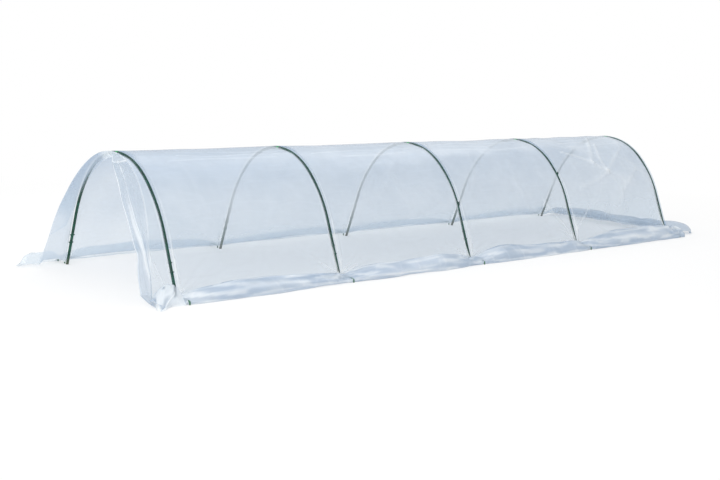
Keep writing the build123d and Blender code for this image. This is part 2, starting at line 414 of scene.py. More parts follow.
def stop_points(x, side, height):
    """A collar with an ear on both sides, square to the leg."""
    along = Vector((0, -side * math.cos(LEG_LEAN), math.sin(LEG_LEAN)))
    outward = Vector((0, side * math.sin(LEG_LEAN), math.cos(LEG_LEAN)))
    centre = Vector((x, side * (FOOT - height / math.tan(LEG_LEAN)), height))
    ring = []
    for turn in np.linspace(0, 2 * math.pi, STOP_SIDES, endpoint=False):
        a, b = math.cos(turn), math.sin(turn)
        ear = smooth(abs(a), 0.72, 0.98)
        ring.append((a * (STOP_R + STOP_EAR * ear), b * (STOP_R - STOP_PINCH * ear)))
    return [tuple(centre + Vector((a * scale, 0, 0)) + outward * (b * scale) + along * level)
            for level, scale in STOP_LEVELS for a, b in ring]


def ribbed_hoop(name, x, side):
    """Half a hoop: the tube with its wound rib, then its stops."""
    s = np.linspace(TUBE_START, TUBE_END, int((TUBE_END - TUBE_START) / RIB_PITCH * RIB_STEPS) + 1)
    turns = np.linspace(0, 2 * math.pi, TUBE_SIDES, endpoint=False)
    y, z, ny, nz = section(s * side)
    along, around = np.meshgrid(s, turns, indexing="ij")
    phase = (along / RIB_PITCH + around / (2 * math.pi) * side) % 1
    rib = hump(phase - 0.5, RIB_WIDTH) * smooth(along, 0.0, 0.006)
    r = TUBE_R + COAT + RIB_HEIGHT * rib
    out, across = np.cos(around) * r, np.sin(around) * r
    p = np.stack([x + across, y[:, None] + ny[:, None] * out, z[:, None] + nz[:, None] * out], axis=-1)
    p[..., 2] = np.maximum(p[..., 2], 0.0)
    verts = [tuple(point) for point in p.reshape(-1, 3)]
    faces = ringed_faces(0, len(s), TUBE_SIDES)
    for height in STOP_HEIGHTS:
        faces += ringed_faces(len(verts), len(STOP_LEVELS), STOP_SIDES)
        verts += stop_points(x, side, height)
    return mesh_object(name, verts, faces)


for i, x in enumerate(HOOPS, 1):
    for side, half in ((-1, "front"), (1, "back")):
        hoop = ribbed_hoop(f"ribbed_hoop_{i}_{half}", x, side)
        finish_piece(hoop, COATING, "hoop_coating", f"hoop_{i}_{half}")
        repaint(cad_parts[f"ground_peg_{i}_{half}"], PEG)
    repaint(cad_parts[f"crown_joiner_{i}"], JOINER)

# -------- the main film: columns and rows of its grid
COVER_PAST = 0.0110  # the wall ends this far past the last hoop
STEP_AT_HOOP, STEP_WIDER = 0.0038, 0.0052  # spacing of the columns, and how much it grows between the hoops
NEAR_COLUMNS, TAIL_COLUMNS, HALF_ROWS, SKIRT_ROWS = 27, 12, 86, 24
SKIRT = 0.115  # width of the film from the wall to the hem
FILM_FOOT = 0.0065  # the film's foot from the tube's axis
OPEN_LENGTH = 0.11  # what the overhang and the tail count for beside the distances between the hoops

# share falls from 1 at the overhang's rim to 0 at the first hoop, and after grows to 1 along the far tail
fine_x = np.linspace(NEAR, FAR + COVER_PAST, 6000)
wall_x = spaced(fine_x, 1 / (STEP_AT_HOOP + STEP_WIDER * smooth(to_hoop(fine_x), 0.03, 0.12)))
near_share = np.linspace(1, 0, NEAR_COLUMNS + 1)[:-1] ** 1.25
tail_share = np.linspace(0, 1, TAIL_COLUMNS + 1)[1:]
share = np.concatenate([near_share, np.zeros(len(wall_x) + TAIL_COLUMNS)])
after = np.concatenate([np.zeros(NEAR_COLUMNS + len(wall_x)), tail_share])
base_x = np.concatenate([np.full(NEAR_COLUMNS, NEAR), wall_x, np.full(TAIL_COLUMNS, wall_x[-1])])
between = (share == 0) & (after == 0)
from_hoop = np.where(between, to_hoop(base_x), OPEN_LENGTH * (share + after))
# The wall sags by a share of 1 in the middle of a bay
sag = np.where(between, np.sin(np.pi * (((base_x - NEAR) / BAY) % 1.0)) ** 0.7, 0)

# The wall runs from foot to foot, fine along the ridge and near the ground, with a skirt on each side
fine_row = np.linspace(0, 1, 2000)
fineness = 1 / np.interp(fine_row, [0, 0.18, 0.25, 0.72, 0.80, 1], [5, 5, 12, 12, 6.5, 6.5])
half_rows = spaced(fine_row, fineness, HALF_ROWS)
wall_rows = np.concatenate([-half_rows[:0:-1], half_rows])
skirt_rows = np.linspace(0, 1, SKIRT_ROWS + 1)[1:]

# Height of the skirt's upper edge along each bay: shares of the bay, then metres
RISES = (
    ((0, 0.05, 0.14, 0.27, 0.49, 0.73, 0.88, 0.96, 1),
     (0.018, 0.034, 0.046, 0.052, 0.048, 0.043, 0.035, 0.025, 0.018)),
    ((0, 0.08, 0.16, 0.34, 0.56, 0.74, 0.90, 0.96, 1),
     (0.020, 0.030, 0.039, 0.046, 0.051, 0.053, 0.038, 0.028, 0.020)),
    ((0, 0.05, 0.10, 0.18, 0.31, 0.50, 0.69, 0.94, 1),
     (0.022, 0.034, 0.045, 0.053, 0.055, 0.047, 0.043, 0.034, 0.021)),
    ((0, 0.05, 0.13, 0.27, 0.49, 0.68, 0.88, 0.96, 1),
     (0.022, 0.034, 0.046, 0.059, 0.064, 0.064, 0.060, 0.048, 0.040)),
)


# -------- the main film: its shape before the creases
def rise(x, side):
    """Height of the upper edge of a skirt. The back one runs the other way round."""
    x = x if side < 0 else NEAR + FAR - x
    at = np.clip((x - NEAR) / BAY, 0, len(RISES) - 0.0001)
    bay = at.astype(int)
    high = np.zeros_like(x)
    for k, (places, heights) in enumerate(RISES):
        high = np.where(bay == k, np.interp(at - k, places, heights), high)
    return high


def skirt_knots(side):
    """The skirt's section in every column, as distances out from the middle and heights, and the height at
    which it leaves the wall."""
    if side > 0:
        near_puff = 0.95 * smooth(share, -0.05, 0.4) * (1 - 0.9 * smooth(share, 0.82, 1.0))
        near_hem = 0.512 - 0.03 * share**2
    else:
        near_puff = 0.10 * share
        near_hem = 0.507 - 0.012 * np.sin(np.pi * share) + 0.038 * share**2
    far_puff = 0.80 * (1 - smooth(after, 0.35, 1.0) * 0.95)
    nearby = base_x[:, None] + np.linspace(-0.03, 0.03, 9)
    high = rise(nearby, side).mean(axis=1)
    high = np.where(between, high, 0.012 + 0.050 * np.where(share > 0, near_puff, far_puff))
    puff = np.clip((high - 0.015) / 0.045, 0, 1)
    at_peg = hump(from_hoop, 0.0065)
    valley = 0.55 * high
    foot = FOOT - valley / math.tan(LEG_LEAN) + FILM_FOOT / math.sin(LEG_LEAN)
    hem = 0.509 + 0.0105 * puff + 0.0012 * field(base_x, side + 0 * puff, 9, 0.12) - 0.002 * at_peg
    hem = np.where(share > 0, near_hem, hem)
    over = 0.0188 * at_peg  # the film rides over the peg's bar
    knots = [
        (foot, valley),
        (foot + 0.003 + 0.003 * puff, np.maximum(valley * 0.92, over)),
        (foot + 0.011 + 0.010 * puff, np.maximum(high, over)),
        (foot + 0.026 + 0.008 * puff, np.maximum(high * 0.93, over)),
        (hem - 0.022 + 0.004 * puff, np.maximum(high * 0.55 + 0.002, over)),
        (hem - 0.004 + 0.003 * puff, np.maximum(0.002 + 0.12 * high, over * 0.9)),
        (hem - 0.005 + 0.002 * puff, COVER_LOWEST + 0 * puff),
    ]
    return np.array(knots).transpose(0, 2, 1), valley


def skirt_points(side, knots):
    """A skirt, whose near end reaches further than the wall above it and whose far end makes the tail."""
    row = skirt_rows[:, None]
    out_and_up = spline(knots, skirt_rows)
    if side < 0:
        reach = 0.110 + 0.025 * row
    else:
        reach = 0.124 + 0.076 * smooth(row, 0.05, 0.6) - 0.014 * smooth(row, 0.75, 1.0)
    tail = 0.046 * smooth(row, 0.0, 0.35) - 0.012 * smooth(row, 0.7, 1)
    x = base_x - share * reach + after * tail
    return np.stack([x, side * out_and_up[..., 0], out_and_up[..., 1]], axis=-1)


def cover_points():
    """The cover's points, and how far over the hoop each of them lies from the crown."""
    (front_knots, front_valley), (back_knots, back_valley) = skirt_knots(-1), skirt_knots(1)
    wall, wall_v = [], []
    for row in wall_rows:
        s = row * (HALF - (front_valley if row < 0 else back_valley) / math.sin(LEG_LEAN))
        over_joiner = hump(s, 0.03) * hump(from_hoop, 0.012)
        d = CLEAR_OF_TUBE + 0.0009 * over_joiner - 0.003 * sag * (0.5 + 0.5 * np.cos(row * 2.2))
        y, z, _, _ = section(s, d)
        wall.append(np.stack([base_x - share * overhang(z, row > 0), y, z], axis=-1))
        wall_v.append(s)
    down = SKIRT * skirt_rows[:, None]
    p = np.concatenate([skirt_points(-1, front_knots)[::-1], np.array(wall), skirt_points(1, back_knots)])
    return p, np.concatenate([wall_v[0] - down[::-1], np.array(wall_v), wall_v[-1] + down])


# -------- the main film: its creases
cover_p, v = cover_points()
u = cover_p[..., 0].copy()
height = cover_p[..., 2].copy()
creases = Creases(u, v)
pick = np.random.default_rng(21)


def either_way():
    return pick.choice([-1, 1])


def foot_creases(x, side):
    """Creases that start at one foot of the hoop at x."""
    base, peg = side * (HALF - 0.022), side * (HALF + 0.03)
    faint = 1.0 if side < 0 else 0.45
    # Gathers climb beside the tube, and low folds fan out across the bays
    for _ in range(12):
        off = pick.uniform(0.006, 0.040) * either_way()
        climb = pick.uniform(0.07, 0.24)
        if x == NEAR and off < 0:
            continue
        middle = (x + off * 0.8, base - side * climb * 0.45)
        creases.line([(x + off * 0.25, base), middle, (x + off, base - side * climb)],
                     width=0.0050, lift=0.0028, haze=0.32 * faint)
    for _ in range(5):
        lean = math.radians(pick.uniform(42, 82)) * either_way()
        run = pick.uniform(0.09, 0.26)
        lean = abs(lean) if x == NEAR else lean
        out, up = math.sin(lean) * run, math.cos(lean) * run
        middle = (x + out * 0.5, base - side * (up * 0.5 + pick.uniform(-0.004, 0.004)))
        creases.line([(x + 0.006 * np.sign(lean), base), middle, (x + out, base - side * up)],
                     width=0.0078, lift=0.0040, haze=(0.10 if x == NEAR else 0.24) * faint)
    # Folds spread from the peg over the skirt
    for _ in range(9):
        off = pick.uniform(0.03, 0.20) * either_way()
        out = side * (HALF + pick.uniform(0.0, 0.09))
        creases.line([(x, peg), (x + off * 0.5, (out + peg) / 2), (x + off, out)],
                     width=0.005, lift=0.003, haze=0.25)
    # A pair of bright lines beside the tube, where the film leaves it: slight folds with a painted highlight
    # along them
    for off in (-0.013, 0.014):
        creases.line([(x + off, base), (x + off * 1.2, base - side * 0.22), (x + off, base - side * 0.5)],
                     width=0.0038, lift=-0.0008, haze=0.34 * faint)


def ridge_crease(start_x, at):
    """A long soft crease that wanders along the ridge of one bay."""
    start, end = start_x + pick.uniform(0.0, 0.25), start_x + BAY - pick.uniform(0.0, 0.25)
    path = [(x, at + pick.uniform(-0.014, 0.014)) for x in np.linspace(start, end, 4)]
    creases.line(spline(path, np.linspace(0, 1, 10)), width=0.005, lift=0.0008, haze=0.12, fade=(1, 0.5))


def bay_creases(start_x, side):
    """Long creases along the skirt of one bay, and slack folds that cross the bay between its hoops."""
    for _ in range(7):
        at = side * (HALF + pick.uniform(0.0, 0.085))
        start, end = start_x + pick.uniform(0.02, 0.3), start_x + BAY - pick.uniform(0.02, 0.3)
        creases.line([(start, at + side * 0.008), ((start + end) / 2, at), (end, at + side * 0.01)],
                     width=0.006, lift=0.0026, haze=0.22, fade=(1, 0.8))
    for _ in range(5):
        x, over = start_x + pick.uniform(0.12, 0.63), side * pick.uniform(0.25, 0.6)
        lean, run = pick.uniform(-0.9, 0.9) + math.pi / 2, pick.uniform(0.08, 0.2)
        dx, dv = math.cos(lean) * run, math.sin(lean) * run
        creases.line([(x - dx, over - dv), (x + pick.uniform(-0.03, 0.03), over), (x + dx, over + dv)],
                     width=0.012, lift=0.0022, haze=0.03, fade=(0.6, 0.6))


for x in HOOPS:
    for side in (-1, 1):
        foot_creases(x, side)
for at in (-0.142, -0.105, -0.066, -0.020, 0.05, 0.11):
    for start_x in HOOPS[:-1]:
        ridge_crease(start_x, at)
for start_x in HOOPS[:-1]:
    for side in (-1, 1):
        bay_creases(start_x, side)

# The last bay is the slackest: its folds meet in two points below the ridge
UPPER, LOWER = (1.04, -0.266), (1.123, -0.329)
LAST_BAY_FOLDS = (
    (((0.86, -0.19), (0.97, -0.232), UPPER), 0.30),
    (((1.22, -0.06), (1.11, -0.177), UPPER), 0.22),
    (((1.20, -0.13), (1.13, -0.231), LOWER), 0.26),
    (((1.38, -0.17), (1.25, -0.247), LOWER), 0.14),
    ((LOWER, (1.03, -0.367), (0.86, -0.405)), 0.13),
    (((1.37, -0.32), (1.29, -0.376), (1.19, -0.425)), 0.10),
    ((LOWER, (1.17, -0.42), (1.16, -0.50)), 0.06),
    ((UPPER, (1.08, -0.30), LOWER), 0.20),
)
for points, strength in LAST_BAY_FOLDS:
    path = spline(points, np.linspace(0, 1, 8))
    creases.line(path, width=0.0095, lift=0.0060, haze=strength, fade=(1, 0.6))

# Long straight folds run from the feet of the tubes
FOOT_FOLDS = (
    (((0.715, -0.655), (0.545, -0.451)), 0.34),
    (((0.714, -0.65), (0.53, -0.56)), 0.22),
    (((0.728, -0.655), (0.752, -0.602)), 0.50),
    (((0.748, -0.611), (0.885, -0.512)), 0.34),
    (((0.915, -0.595), (0.982, -0.649)), 0.26),
    (((-0.043, -0.669), (-0.155, -0.605)), 0.34),
    (((-0.043, -0.67), (-0.235, -0.635)), 0.26),
    (((-0.757, -0.69), (-0.655, -0.630)), 0.34),
    (((-0.760, -0.69), (-0.782, -0.587), (-0.755, -0.465)), 0.34),
)
for points, strength in FOOT_FOLDS:
    creases.line(points, width=0.0075, lift=0.0040, haze=strength, fade=(1, 0.4))

# The front corner's gather draws folds up the overhang. They show white over the skirt too, partly as milk
# and partly as a painted highlight
corner = Creases(u, v)
CORNER_FOLDS = (
    (((-1.616, -0.47), (-1.606, -0.56), (-1.590, -0.655)), 0.0120, 0.42),
    (((-1.592, -0.56), (-1.578, -0.61), (-1.560, -0.655)), 0.0055, 0.40),
    (((-1.538, -0.56), (-1.541, -0.650)), 0.0055, 0.22),
    (((-1.506, -0.55), (-1.518, -0.655)), 0.0050, 0.22),
)
for points, width, strength in CORNER_FOLDS:
    corner.line(points, width, lift=0.004, haze=strength, fade=(1, 0.5))

# -------- the main film: its relief
away = smooth(to_hoop(u), 0.0, 0.035)
on_skirt = smooth(np.abs(v), HALF - 0.028, HALF + 0.012)
on_wall = 1 - on_skirt
calm = 0.35 + 0.65 * smooth(np.abs(v), 0.12, 0.35)
slack = calm * (0.0020 * field(u, v, 3, 0.24, 1.3) + 0.0006 * field(u, v, 4, 0.11, 1.6))
skirt_facets, skirt_edges = crumple(u, v, 11, 0.075, 2.5)
facets, edges = crumple(u, v, 17, 0.17, 1.4)
loosest = smooth(u, 0.74, 0.95) * (1 - smooth(u, 1.40, 1.47)) * on_wall  # the last bay
lift = (creases.lift + corner.lift) * (0.25 + 0.75 * away) + slack * away + loosest * 0.0040 * facets
lift += on_skirt * away * (0.0013 * skirt_facets + 0.0009 * field(u, v, 6, 0.030, 8))
cover_p = lifted(cover_p, lift, COVER_LOWEST)

# -------- the main film: how milky and pale it is
# The ridge is a band with a wandering lower edge, a little milkier and painted paler as a painted reflection
# of the light above it, and the film turns clear towards the ground
low_edge = v + 0.020 * sag + 0.010 * field(u, 0 * v, 9, 0.30)
ridge = smooth(low_edge, -0.165, -0.138) * (1 - smooth(v, 0.10, 0.16))
veil = 0.04 + (0.61 + 0.15 * smooth(u, -0.9, 0.2)) * smooth(height, 0.10, 0.35)
veil += 0.03 * ridge + 0.02 * field(u, v, 8, 0.3)
front, back = v < 0, v >= 0
full_reach = overhang(height, v > 0)
reached = share[None, :] * full_reach  # how far out of the first hoop
past = (share > 0) * smooth(reached, 0.0, 0.012)
veil += back * (0.02 + 0.38 * (1 - smooth(height, 0.12, 0.36)) + 0.20 * past)
rim = hump(full_reach - reached, 0.0035) * (share > 0) * on_wall
# Lines: the creases' whitening, a pale rim at the overhang's edge, and in the last bay facets made lighter or
# darker with their height as painted light and shade, with a painted highlight at their folds
lines = creases.haze + 0.22 * rim + loosest * (0.07 * facets + 0.05 * edges)
# The film is gathered into a small white knot at each foot
knot = hump(to_hoop(u), 0.018) * hump(np.abs(v) - HALF + 0.006, 0.016)
# The back skirt is thin beside the wall, and gathered further out
outside = smooth(v, HALF + 0.035, HALF + 0.08)

skirt_haze = np.where(front, 0.89, 0.30 + 0.50 * outside) + 0.08 * skirt_edges + 0.4 * creases.haze
haze = on_wall * (veil + lines + corner.haze) + on_skirt * skirt_haze + 0.6 * knot

top_pale = 0.04 - 0.22 * (1 - smooth(u, -1.05, -0.55))
# The wall is paler low down, painted paler along the ridge as a painted reflection, and along the lines
# partly as a painted highlight
wall_pale = 0.03 + 0.32 * (1 - smooth(height, 0.26, 0.46)) + 0.12 * ridge + 2.0 * lines
wall_pale += top_pale * smooth(height, 0.34, 0.44) - 0.18 * back
# Beside the wall the back skirt is painted pale: painted light that lifts the shade it lies in inside the
# tunnel
skirt_pale = np.where(front, -0.50, 0.95 - 0.80 * outside * (1 - smooth(share, 0, 0.4)))
skirt_pale += 0.25 * (share > 0) + 0.48 * front * hump(u - NEAR - 0.05, 0.07)
# The skirt is paler at its facets' folds and along the creases, partly milk and partly a painted highlight,
# and in long streaks of painted highlight along it, with broader pale patches
skirt_pale += 0.25 * skirt_edges + 1.8 * creases.haze
skirt_pale += 0.72 * blotches(u, v, 12, 0.016, 14) ** 2 + 0.10 * blotches(u, v, 14, 0.060, 5) ** 2
pale = on_wall * wall_pale + on_skirt * skirt_pale + 0.9 * knot + 1.2 * corner.haze

# A tube stretches the film clear, over a wider strip where the camera looks along it
crest = smooth(height, 0.474, 0.492)
beyond = smooth(u, -0.4, 1.3)
strip = 0.0072 + 0.0060 * smooth(height, 0.25, 0.47) + 0.014 * crest + 0.0022 * beyond
tight = 0.97 * hump(to_hoop(np.minimum(u, FAR)), strip, 4) * on_wall * (1 - knot)
haze, pale = haze * (1 - (0.70 + 0.25 * beyond) * tight), pale * (1 - tight)

haze, pale = np.clip(haze, 0.01, 0.93), np.clip(pale, -0.6, 1)
cover = grid_object("film_over_hoops", cover_p, u, v, haze, pale, tight)
halves = [f"{i}_{half}" for i in range(1, 6) for half in ("front", "back")]
skirts = [f"skirt_{which}" for which in halves[:-2]]  # there is one bay fewer than hoops
finish_piece(cover, FILM, "film", "film_cover", "near_flap_back", "near_hem_back", *skirts)
near_edge = cover_p[SKIRT_ROWS:SKIRT_ROWS + HALF_ROWS, 0][::-1]  # the overhang's rim, from the crown down

# Where the small sheets lie in the film's texture, so that no two have the same crinkles
TURNED_AT, CURTAIN_AT, CORNER_AT, END_AT = 3.0, 5.0, 7.0, 9.0

# -------- the curtain, drawn to the front of the open end
CURTAIN_DROP, LIP = 0.62, 0.12  # its length down to the ground, and the lip that lies there as a share of it
# Its free edge hangs from the crown and slants down to the ground in the tunnel's mouth
FREE_EDGE = np.array([
    (-0.024, -0.004, 0.482), (-0.026, -0.016, 0.448), (-0.034, -0.074, 0.360), (-0.043, -0.138, 0.267),
    (-0.052, -0.210, 0.174), (-0.056, -0.245, 0.140), (-0.060, -0.254, 0.090), (-0.068, -0.288, 0.004),
]) + (NEAR, 0, 0)
CURTAIN_HEM = np.array([
    (-0.124, -0.500, GROUND), (-0.112, -0.432, GROUND), (-0.090, -0.355, GROUND), (-0.068, -0.288, GROUND),
]) + (NEAR, 0, 0)
# Each fold's points, as shares of the curtain's width and height, then its width, lift, haze and fade
CURTAIN_FOLDS = (
    ([(0.975, 0.01), (0.975, 0.4), (0.985, 0.8), (0.985, 1.11)], 0.0046, 0.0, 0.95, (1.3, 0.7)),
    ([(0.02, 0.10), (0.02, 0.4), (0.02, 0.7), (0.02, 0.93)], 0.0020, 0.0, 0.60, (1, 1)),
    ([(0.42, 0.10), (0.49, 0.16), (0.58, 0.33), (0.585, 0.5), (0.43, 0.78), (0.25, 0.92), (0.08, 1.0)],
     0.0026, 0.003, 0.75, (0.45, 1.1)),
    ([(0.20, 0.20), (0.30, 0.40), (0.32, 0.62), (0.22, 0.80), (0.08, 0.93)], 0.0040, 0.003, 0.20, (0.8, 1)),
    ([(0.72, 0.08), (0.80, 0.35), (0.84, 0.60), (0.80, 0.85), (0.70, 1.0)], 0.0065, -0.004, 0.05, (1, 1)),
    ([(0.99, 0.038), (0.5, 0.100), (0.02, 0.175)], 0.0024, 0.002, 0.70, (1, 1)),
    ([(0.0, 0.99), (0.5, 0.995), (1.0, 1.0)], 0.0030, 0.001, 0.45, (1, 1)),
    ([(0.0, 1.116), (0.5, 1.116), (1.0, 1.116)], 0.0035, 0.0, 0.85, (1, 1)),
)
# The middle of its band of gathers: places down its height, and shares of its width there
BAND_PLACES = (0.1, 0.35, 0.5, 0.62, 0.75, 0.85, 0.95)
BAND_CENTRES = (0.6, 0.68, 0.70, 0.67, 0.62, 0.55, 0.40)


def curtain_points(inward, down, lip_rows):
    """The curtain between the overhang's rim and its free edge, and its lip over the ground to the hem."""
    rim_line = evenly(near_edge, down)
    free_line = evenly(spline(FREE_EDGE, np.linspace(0, 1, 200)), down)
    bow = smooth(down, 0.45, 1.0)
    middle = (rim_line + free_line) / 2 + np.stack([0.026 * bow, -0.027 * bow, 0.024 * bow], axis=-1)
    t = inward[None, :, None]
    hang = (1 - t) ** 2 * rim_line[:, None] + 2 * t * (1 - t) * middle[:, None] + t**2 * free_line[:, None]
    base = hang[-1]
    lip = base[None] + (spline(CURTAIN_HEM, inward) - base)[None] * lip_rows[:, None, None]
    lip[..., 2] = GROUND + (base[:, 2] - GROUND) * (1 - lip_rows[:, None]) ** 1.6
    return np.concatenate([hang, lip])


def near_curtain():
    """The curtain. a runs from the overhang's rim to the free edge, b from the crown past the ground to the
    hem."""
    inward, down, lip_rows = np.linspace(0, 1, 90), np.linspace(0, 1, 100), np.linspace(0, 1, 16)[1:]
    p = curtain_points(inward, down, lip_rows)
    a, b = inward[None, :], np.concatenate([down, 1 + LIP * lip_rows])[:, None]
    steps = np.linalg.norm(np.diff(p, axis=1), axis=2)
    across = np.concatenate([np.zeros((len(b), 1)), np.cumsum(steps, axis=1)], axis=1)
    drop = b * CURTAIN_DROP + 0 * a
    folds = Creases(across, drop)
    for points, *values in CURTAIN_FOLDS:
        places = spline(points, np.linspace(0, 1, 6 * len(points)))
        inside = places[:, 0] * np.interp(places[:, 1], b[:, 0], across[:, -1])
        folds.line(np.stack([inside, places[:, 1] * CURTAIN_DROP], axis=-1), *values)

    held = smooth(a, 0.0, 0.2)
    lift = folds.lift * held + 0.0012 * field(a * 0.1 + 0 * b, drop, 31, 0.16, 0.4) * held
    p = lifted(p, lift)

    # A white band of gathers down the middle, a pocket under the crown with a white patch, and a clearer foot
    centre = np.interp(b, BAND_PLACES, BAND_CENTRES)
    band = hump(a - centre, 0.13) * smooth(b, 0.25, 0.55) * (1 - smooth(b, 0.97, 1.02))
    pocket = 1 - smooth(b - (0.035 + 0.142 * (1 - a)), -0.004, 0.004)
    patch = hump(a - 0.52, 0.16) * hump(b - 0.165, 0.055)
    patch = patch * np.clip(0.6 + 0.4 * field(across, drop, 37, 0.03, 2), 0, 1)
    low = smooth(b, 0.35, 0.9)
    haze = 0.20 + 0.26 * low + folds.haze + 0.54 * band + 0.25 * pocket + 0.45 * patch
    # Folds pale the curtain, partly as milk and partly as a painted highlight
    pale = 0.20 - 0.38 * low + 0.9 * folds.haze + 1.25 * band + 0.30 * pocket + 0.9 * patch
    pale += 0.7 * low * (1 - smooth(a, 0.16, 0.30))
    haze, pale = np.clip(haze, 0.02, 0.93), np.clip(pale, -0.4, 1)
    piece = grid_object("near_curtain_film", p, drop, across + CURTAIN_AT, haze, pale)
    finish_piece(piece, FILM, "film", "near_curtain")


near_curtain()

# -------- the front corner, bunched at the hoop's foot
# Lines from the mouth to the hoop's foot: behind the bunch, over its top, outside it and along the hem
BUNCH_LINES = (
    ((-0.050, -0.385, 0.006), (-0.020, -0.392, 0.010), (0.006, -0.408, 0.010), (0.010, -0.430, 0.008)),
    ((-0.074, -0.406, 0.034), (-0.045, -0.404, 0.052), (-0.006, -0.410, 0.056), (0.008, -0.436, 0.028)),
    ((-0.098, -0.424, 0.022), (-0.100, -0.462, 0.034), (-0.050, -0.470, 0.036), (0.006, -0.466, 0.016)),
    ((-0.113, -0.434, 0.001), (-0.128, -0.490, 0.001), (-0.136, -0.546, 0.001), (-0.070, -0.506, 0.001),
     (-0.014, -0.510, 0.001)),
)


def near_corner():
    """The bunch. a runs along it, from the mouth to the hoop's foot, and b over it from behind to the hem."""
    a_cols, b_rows = np.linspace(0, 1, 96), np.linspace(0, 1, 44)
    p = spline(np.stack([spline(line, a_cols) for line in BUNCH_LINES]), b_rows) + (NEAR, 0, 0)
    a, b = a_cols[None, :], b_rows[:, None]
    bunch_u, bunch_v = a * 0.22 + CORNER_AT + 0 * b, b * 0.16 + 0 * a

    # A white pleat drops to the corner between two thin places, and the tube's foot shows through beside them
    pleat = hump(a - 0.42 - 0.03 * np.sin(5 * b), 0.055)
    ridge_line = hump(a - 0.74 + 0.13 * smooth(b, 0.6, 1.0), 0.020) * smooth(b, 0.5, 0.7)
    window = hump(a - 0.59, 0.075) * smooth(b, 0.64, 0.76) * (1 - smooth(b, 0.90, 0.98))
    thin = (1 - smooth(a, 0.20, 0.34)) * smooth(b, 0.60, 0.76)
    gap = hump(a - 0.44, 0.035) * hump(b - 0.50, 0.045)
    leg = hump(a - 0.75, 0.050) * (1 - smooth(b, 0.66, 0.80))
    rim = hump(1 - b, 0.03)
    facets, edges = crumple(bunch_u, bunch_v, 53, 0.050)

    lift = 0.0040 * pleat + 0.0030 * ridge_line - 0.0050 * window - 0.0040 * thin + 0.0014 * facets
    p = lifted(p, -lift * smooth(b, 0.08, 0.4))  # this grid's normals point inwards
    haze = 0.92 - 0.24 * window - 0.40 * thin - 0.5 * gap - 0.45 * leg + 0.3 * ridge_line + 0.5 * rim
    haze += 0.06 * edges
    pale = 0.85 - 0.50 * window - 0.95 * thin - 1.0 * gap - 0.5 * leg + 0.4 * pleat + 0.8 * ridge_line
    pale += 0.8 * rim + 0.15 * edges
    haze, pale = np.clip(haze, 0.02, 0.94), np.clip(pale, -0.4, 1)
    piece = grid_object("near_corner_film", p, bunch_u, bunch_v, haze, pale)
    finish_piece(piece, FILM, "film", "near_corner_front")


near_corner()

# -------- the overhang's edge, turned in from the crown
TURNED_START, TURNED_LENGTH = 0.56, 0.665  # from low on the back of the hoop, up past the crown
# Places over the hoop, and how wide the strip is there
TURNED_PLACES = (-0.105, -0.085, -0.03, 0.0, 0.04, 0.08, 0.16, 0.24, 0.32, 0.40, 0.48, 0.54, 0.56)
TURNED_WIDTHS = (0.0, 0.008, 0.014, 0.024, 0.026, 0.030, 0.046, 0.057, 0.066, 0.070, 0.068, 0.018, 0.0)
# And how milky it is
HAZE_PLACES = (0.05, 0.12, 0.20, 0.27, 0.34, 0.40, 0.47)
HAZE_VALUES = (0.76, 0.76, 0.72, 0.58, 0.34, 0.06, -0.2)


def turned_edge():
    """The turned-in strip: crumpled by the curtain, and smooth and clear down the far side."""
    s = TURNED_START - TURNED_LENGTH * np.linspace(0, 1, 230)
    row = np.linspace(0, 1, 22)[:, None]
    y, z, ny, nz = section(s, CLEAR_OF_TUBE + 0.0006)
    width = np.interp(s, TURNED_PLACES, TURNED_WIDTHS)
    width = np.maximum(width * (1 + 0.12 * field(s, 0 * s, 61, 0.06) * (s < 0.08)), 0.0002)
    edge = np.stack([NEAR - overhang(z, s > 0) - 0.001, y, z], axis=-1)
    inward = np.stack([0.25 + 0 * ny, -ny, -nz], axis=-1)
    p = edge[None] + inward[None] * (width[None, :, None] * row[:, :, None])
    edge_u, edge_v = s[None, :] + TURNED_AT + 0 * row, row * width
    bunched = 1 - smooth(s, 0.05, 0.10)
    facets, edges = crumple(edge_u, edge_v, 63, 0.020)
    p = lifted(p, 0.0040 * facets * bunched * smooth(row, 0, 0.25))
    rim = hump(1 - row, 0.10)
    haze = np.interp(s, HAZE_PLACES, HAZE_VALUES) * (1 - 0.9 * smooth(row, 0.66, 1.0) * (1 - bunched))
    haze = haze + bunched * (0.06 + 0.3 * edges + 0.08 * rim)
    pale = -0.32 + bunched * (0.8 + 0.4 * edges) + rim * 0.1
    haze, pale = np.clip(haze, -0.2, 0.93), np.clip(pale, -0.4, 1)
    piece = grid_object("near_edge_fold", p, edge_u, edge_v, haze, pale, tight=smooth(s, 0.28, 0.43))
    finish_piece(piece, FILM, "film")


turned_edge()

# -------- the far end: a wall of film, then a puffed fold
END_X, END_FOOT_X, END_FOOT_Z = FAR + 0.0112, FAR + 0.022, 0.026
END_LEG = 0.035  # foot of the last hoop that the wall leaves free
END_U, FOLD_V = 0.62, 0.27  # half the end's width and the fold's length on the flat sheet
# The fold's section: how far out, how high and how much wider than the wall's foot
FOLD_SECTION = ((0.014, 0.044, 1.01), (0.05, 0.068, 1.03), (0.110, 0.067, 1.07),
                (0.170, 0.050, 1.09), (0.212, 0.018, 1.10), (0.200, 0.0, 1.09))


